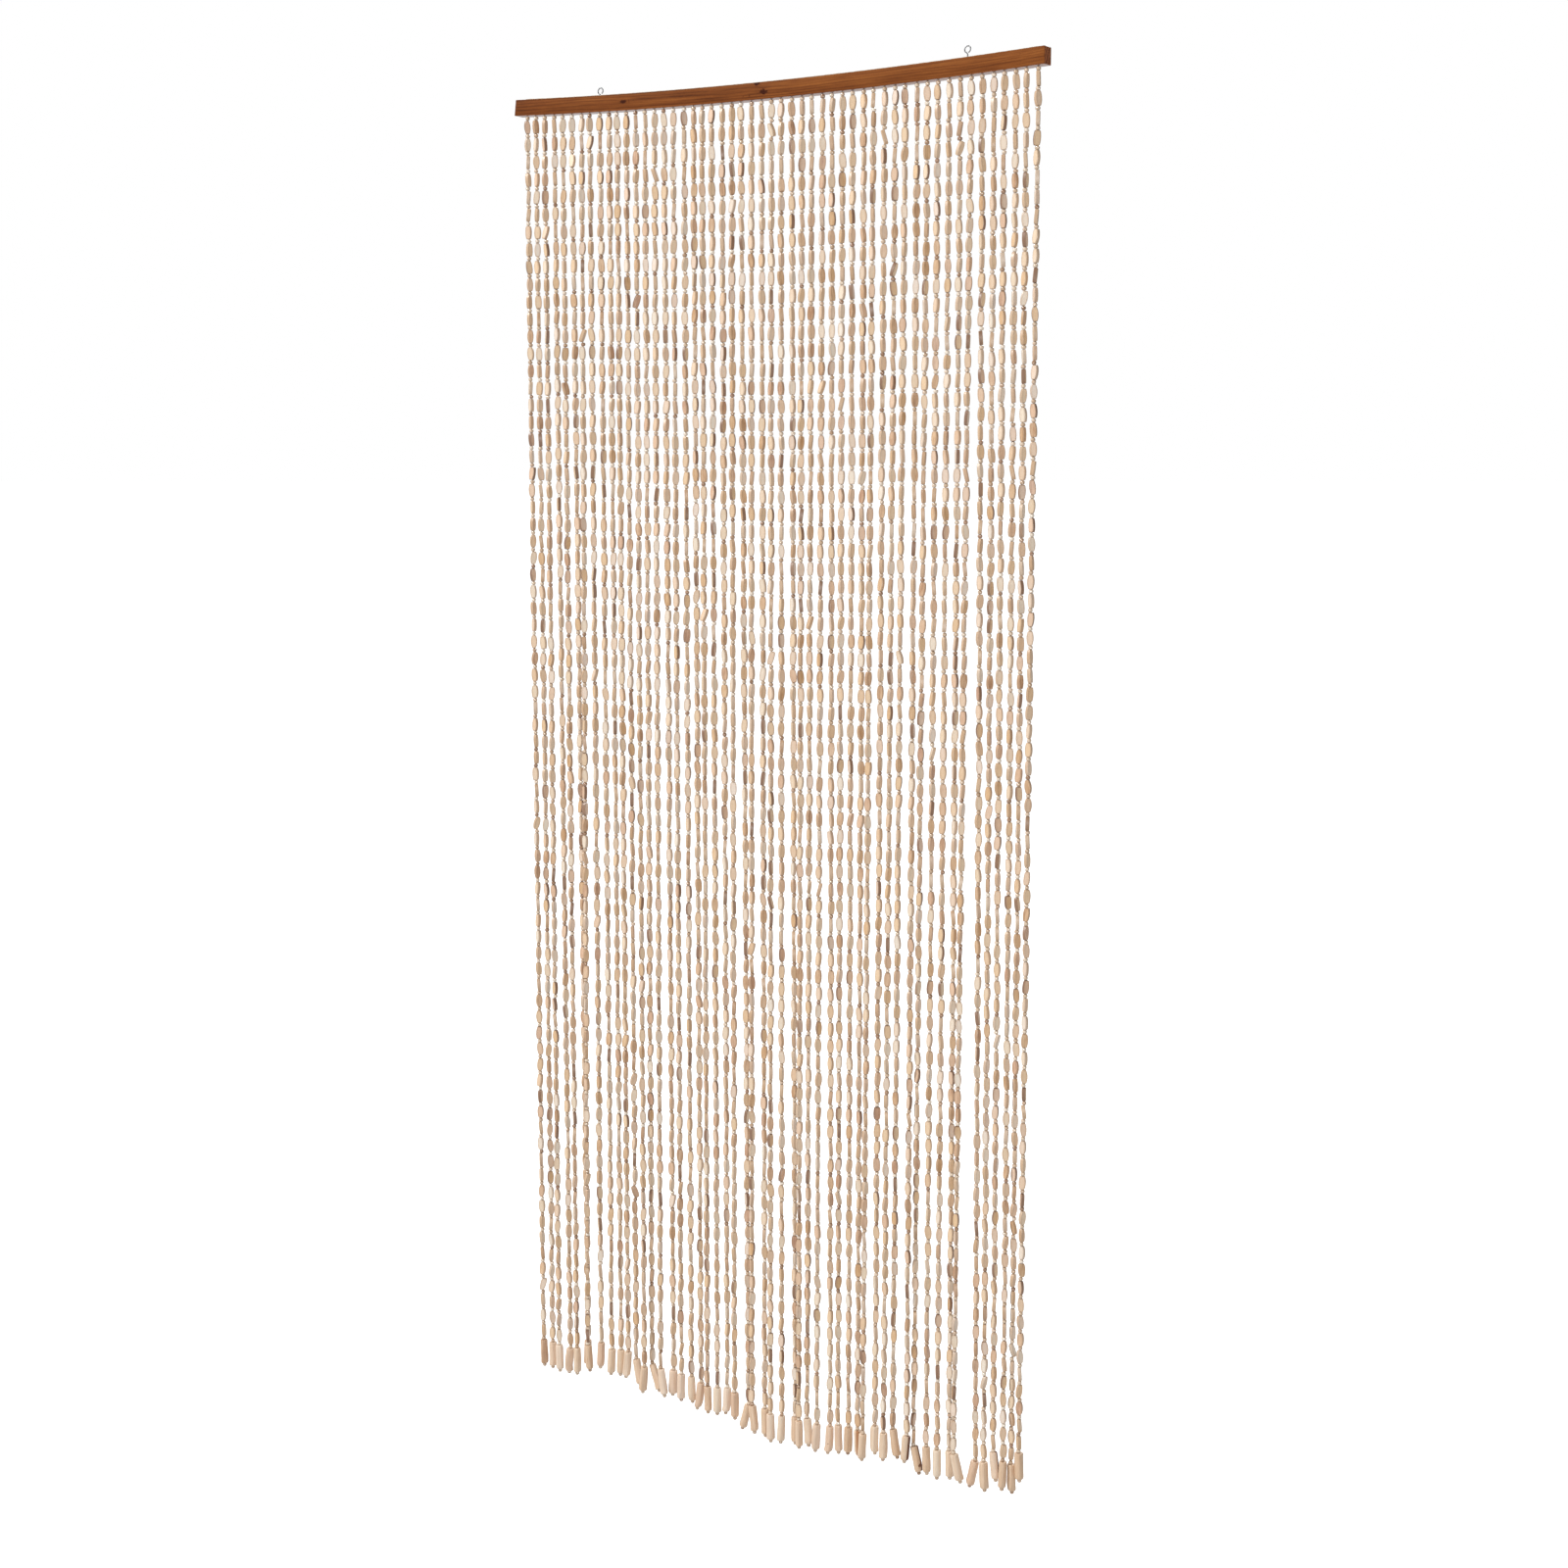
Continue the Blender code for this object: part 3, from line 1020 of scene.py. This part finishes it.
def bellRings(draw, length):
    side = bell["side"]
    angles = np.arange(side) * math.tau / side
    squashTurn = draw.uniform(0, math.pi)
    squash = draw.uniform(0.3, 1.0) * bell["squash"]
    flats = []
    for _ in range(bell["flats"]):
        flats.append((draw.uniform(0, math.tau), draw.uniform(*bell["flatWander"]) * bell["flatDepth"]))
    bevel = sideways(draw.uniform(0, math.tau))
    slant = bell["slant"] * draw.random() ** 1.6
    swell = draw.uniform(*bell["swell"])
    narrowTop = bell["narrowTop"] * draw.random() ** 2
    bevelLength = draw.uniform(*bell["bevelLength"])
    ripples = [draw.uniform(0, math.tau) for _ in range(4)]
    rings = []
    for share, radius in bell["profile"]:
        if share > bell["bevelFrom"]:
            share = 1 - (1 - share) * bevelLength
        radii = radius * swell * (1 + squash * np.cos(2 * (angles - squashTurn)))
        if radius > bell["bore"]:
            ripple = np.sin(3 * angles + ripples[0] + 2.6 * share)
            ripple += np.sin(5 * angles + ripples[1] - 4.1 * share)
            ripple += math.sin(ripples[2] + 9 * share)
            ripple += math.sin(ripples[3] + 5 * share)
            radii = radii + bell["ripple"] * ripple
            radii = radii * (1 - narrowTop * max(0.0, bell["narrowTo"] - share) ** 1.5)
            foot = (radius / bell["halfWidth"]) ** 0.7  # the flats run in towards the foot
            for turn, depth in flats:
                facing = np.cos(angles - turn)
                reach = depth * foot / np.maximum(facing, bell["flatReach"])
                limit = np.where(facing > bell["flatReach"], reach, 1.0)
                radii = np.minimum(radii, np.maximum(limit, radii * bell["deepest"]))
        aside = slant * max(0.0, (share - bell["slantFrom"]) / (1 - bell["slantFrom"])) ** 1.5
        x = radii * np.cos(angles) + bevel[0] * aside
        y = radii * np.sin(angles) + bevel[1] * aside
        rings.append(np.stack([x, y, np.full(side, share * length)], axis=1))
    return np.array(rings), bevel * slant


def makeBells(strands):
    draw = random.Random(bell["seed"])
    points, faces, tips = [], [], []
    marks = {"tone": [], "blush": [], "rust": [], "barkCover": [], "grainPlace": []}
    for number, strand in enumerate(strands, 1):
        axis = strand["bellFoot"] - strand["bellTop"]
        top = strand["bellTop"] + axis.normalized() * bell["topDrop"]
        rings, tipAside = bellRings(draw, axis.length * bell["body"] - bell["topDrop"])
        dark, bark, barkTurn, rust = bell["bark"].get(number, (0.0, 0.0, 0.0, 0.0))
        turn = turnedAlong(axis, draw.uniform(0, math.tau))
        shape = template(rings)
        local = shape["points"]
        offset = len(points)
        points.extend(local @ turn.T + np.array(top))
        faces.extend(tuple(index + offset for index in reversed(face)) for face in shape["faces"])
        spokes = (local * (1, 1, 0)) @ turn.T
        outward = np.maximum(np.linalg.norm(spokes, axis=1), 1e-6)
        facing = spokes @ sideways(math.radians(barkTurn)) / outward
        grain = np.array([draw.uniform(0, beading["grainReach"]) for _ in range(3)])
        tone = max(0.0, draw.uniform(0.35, 0.95) - dark)
        blush = draw.uniform(-1, 1)
        cover = bark * np.clip(facing, 0, 1) ** 3
        if number in bell["knots"]:
            knotTurn, share, size = bell["knots"][number]
            knot = sideways(math.radians(knotTurn)) * bell["knotRadius"] + np.array(axis) * share
            cover = np.maximum(cover, 1.1 - 0.5 * np.linalg.norm(local @ turn.T - knot, axis=1) / size)
        for key, value in (("tone", tone), ("blush", blush), ("rust", rust)):
            marks[key].extend([value] * len(local))
        marks["barkCover"].extend(cover)
        marks["grainPlace"].extend(local + grain)
        tips.append(
            {
                "strand": number,
                "place": np.array(strand["bellTop"] + axis * bell["tip"]) + turn @ tipAside,
                "turn": turn * (bell["tipWidth"], bell["tipWidth"], 1),
                "flare": 0.0,
                "taper": 0.0,
                "tone": draw.uniform(0.04, 0.5),
                "blush": draw.uniform(-1, 1),
                "grain": grain,
            }
        )
    mesh = meshOf("bells", points, *faceLayout(faces), marks, bell["sharp"])
    addPiece("endBells", mesh, bellMaterial(), "strands")
    return tips


# Strings and the cord that laces them along the batten's top
lacing = {
    "radius": 0.00065,
    "lift": 0.0001,
    "waver": 0.0003,
    "waverTurns": 900,
    "string": 0.0005,
    "stringTop": 0.0008,
    "inBell": 0.05,
    "wrap": 0.0011,
    "wrapSquash": 0.85,
    "wrapDrop": 0.0001,
    "wrapSlant": 0.0003,
    "wrapPlaces": (-0.0009, 0.0009),
    "wrapSteps": 10,
    "twist": 0.0024,
    "sharp": 60,
    "tones": (
        (0.15, (0.200, 0.120, 0.065)),
        (0.55, (0.460, 0.330, 0.205)),
        (0.90, (0.640, 0.520, 0.380)),
    ),
}


def stringMaterial():
    material, start, shader = newMaterial("twistedString")
    place = start.mark("cordPlace", 1)  # around, along
    plies = ((place.part(0) + place.part(1) / lacing["twist"]) * math.tau).sine()
    fibres = place.streaked((3.0, 3500.0, 1.0), 3.0, 0.6)
    tone = plies * 0.22 + fibres * 0.5 + 0.25
    feed(
        shader,
        BaseColor=tone.ramp(lacing["tones"]),
        Roughness=0.82,
        Normal=bumped(plies * 0.7 + fibres * 0.3, 0.6, 0.00025),
    )
    return material


def cordInto(bag, line, radius, side):
    shape = template(tubeRings(line, [radius] * len(line), side))
    offset = len(bag["points"])
    bag["points"].extend(shape["points"])
    bag["faces"].extend(tuple(index + offset for index in face) for face in shape["faces"])
    run = 0.0
    for index in range(len(line)):
        if index:
            run += (Vector(line[index]) - Vector(line[index - 1])).length
        bag["cordPlace"].extend([(step / side, run, 0.0) for step in range(side)])


def overHole(strand):
    return strand["hole"].x, strandRow["line"], battenTop(strand["along"]) + lacing["radius"] * 0.5


def laceLine(strands):  # along the batten's top, dipping at each hole
    line = [overHole(strands[0])]
    for strand, after in zip(strands, strands[1:]):
        waver = lacing["waver"] * math.sin(strand["along"] * lacing["waverTurns"])
        for share in (0.2, 0.5, 0.8):
            along = strand["along"] + (after["along"] - strand["along"]) * share
            aside = waver * math.sin(math.pi * share)
            height = battenTop(along) + lacing["radius"] + lacing["lift"]
            line.append((along - originAlong, strandRow["line"] + aside, height))
        line.append(overHole(after))
    return smoothLine(line, 2)


def wrapLine(strand, offset):  # one turn of string round the lacing
    middle = battenTop(strand["along"]) - lacing["wrapDrop"]
    line = []
    for step in range(lacing["wrapSteps"] + 1):
        angle = math.tau * step / lacing["wrapSteps"]
        x = strand["hole"].x + offset + lacing["wrapSlant"] * math.cos(angle)
        y = strandRow["line"] + lacing["wrap"] * math.cos(angle)
        line.append((x, y, middle + lacing["wrap"] * lacing["wrapSquash"] * math.sin(angle)))
    return line


def stringLine(strand):  # down through its hole and into its bell
    hole, bend, bellTop = strand["hole"], strand["bend"], strand["bellTop"]
    top = (hole.x, strandRow["line"], battenTop(strand["along"]) + lacing["stringTop"])
    between = [hole.lerp(bend, share) for share in (0.25, 0.5, 0.75)]
    inside = bellTop + (strand["bellFoot"] - bellTop) * lacing["inBell"]
    return [top, hole, *between, bend, bellTop, inside]


def makeStrings(strands):
    bag = {"points": [], "faces": [], "cordPlace": []}
    cordInto(bag, laceLine(strands), lacing["radius"], 8)
    for strand in strands:
        for offset in lacing["wrapPlaces"]:
            cordInto(bag, wrapLine(strand, offset), lacing["string"], 5)
        cordInto(bag, stringLine(strand), lacing["string"], 6)
    marks = {"cordPlace": bag["cordPlace"]}
    mesh = meshOf("strings", bag["points"], *faceLayout(bag["faces"]), marks, lacing["sharp"])
    addPiece("laceAndStrings", mesh, stringMaterial(), "strands")


# Studio: a white floor, a large soft light from the left front, a weak fill from the right, a soft
# light from behind and a pale surround
studio = {
    "floorHeight": -2.46,
    "floorSize": 400,
    "floorGrey": 0.35,
    "floorGloss": 0.75,  # what gloss sees of it
    "surround": 0.36,
    "aim": (0, 0, -1.0),
    # azimuth counts from the front to the left
    "lights": {
        "key": {"azimuth": 44, "elevation": 38, "distance": 8.0, "size": 1.8, "power": 590},
        "fill": {"azimuth": -34, "elevation": 4, "distance": 8.0, "size": 1.6, "power": 255},
        "rear": {"azimuth": 168, "elevation": 36, "distance": 8.0, "size": 2.4, "power": 380},
    },
}


def floorMaterial():  # as white as the surround, to the camera and in gloss
    material, start, shader = newMaterial("paleFloor")
    seen = start.node("ShaderNodeLightPath", None, None, 0)
    mirrored = start.node("ShaderNodeLightPath", None, None, 3)
    feed(
        shader,
        BaseColor=(*[studio["floorGrey"]] * 3, 1),
        Roughness=0.9,
        EmissionColor=seen.most(mirrored * studio["floorGloss"]),
        EmissionStrength=1.0,
    )
    return material


def makeStudio():
    flat = bmesh.new()
    bmesh.ops.create_grid(flat, x_segments=1, y_segments=1, size=studio["floorSize"] / 2)
    mesh = bpy.data.meshes.new("floor")
    flat.to_mesh(mesh)
    flat.free()
    mesh.materials.append(floorMaterial())
    floor = newObject("floor", mesh)
    floor.location.z = studio["floorHeight"]
    aim = Vector(studio["aim"])
    for name, setup in studio["lights"].items():
        lamp = bpy.data.lights.new(name, "AREA")
        lamp.shape = "DISK"
        lamp.size = setup["size"]
        lamp.energy = setup["power"]
        azimuth, elevation = math.radians(setup["azimuth"]), math.radians(setup["elevation"])
        aside = Vector((-math.sin(azimuth), -math.cos(azimuth), math.tan(elevation))).normalized()
        light = newObject(name, lamp)
        light.location = aim + aside * setup["distance"]
        light.rotation_euler = aside.to_track_quat("Z", "Y").to_euler()
        light.visible_camera = False
    world = bpy.data.worlds.new("surround")
    world.use_nodes = True
    back = world.node_tree.nodes["Background"]
    back.inputs["Color"].default_value = (1, 1, 1, 1)
    seen = Signal(world.node_tree).node("ShaderNodeLightPath")
    strength = seen * (1 - studio["surround"]) + studio["surround"]
    world.node_tree.links.new(strength.socket, back.inputs["Strength"])
    bpy.context.scene.world = world
    bpy.context.scene.view_settings.view_transform = "Standard"


makeCamera()
makeStudio()
print("studio ready")
strands = layOutStrands()
makeBatten(strands)
makeEyes()
print("batten and eyes ready")
flats, rounds = threadBeads(strands)
rounds += makeBells(strands)
print("end beads ready")
makeBeadPieces("flatBeads", flats, flatBeadShape(), flatBeadMaterial(), flatBead["sharp"])
makeBeadPieces("roundBeads", rounds, roundBeadShape(), roundBeadMaterial(), roundBead["sharp"])
print(f"{len(flats)} flat beads and {len(rounds)} round beads ready")
makeStrings(strands)
print("strings ready")
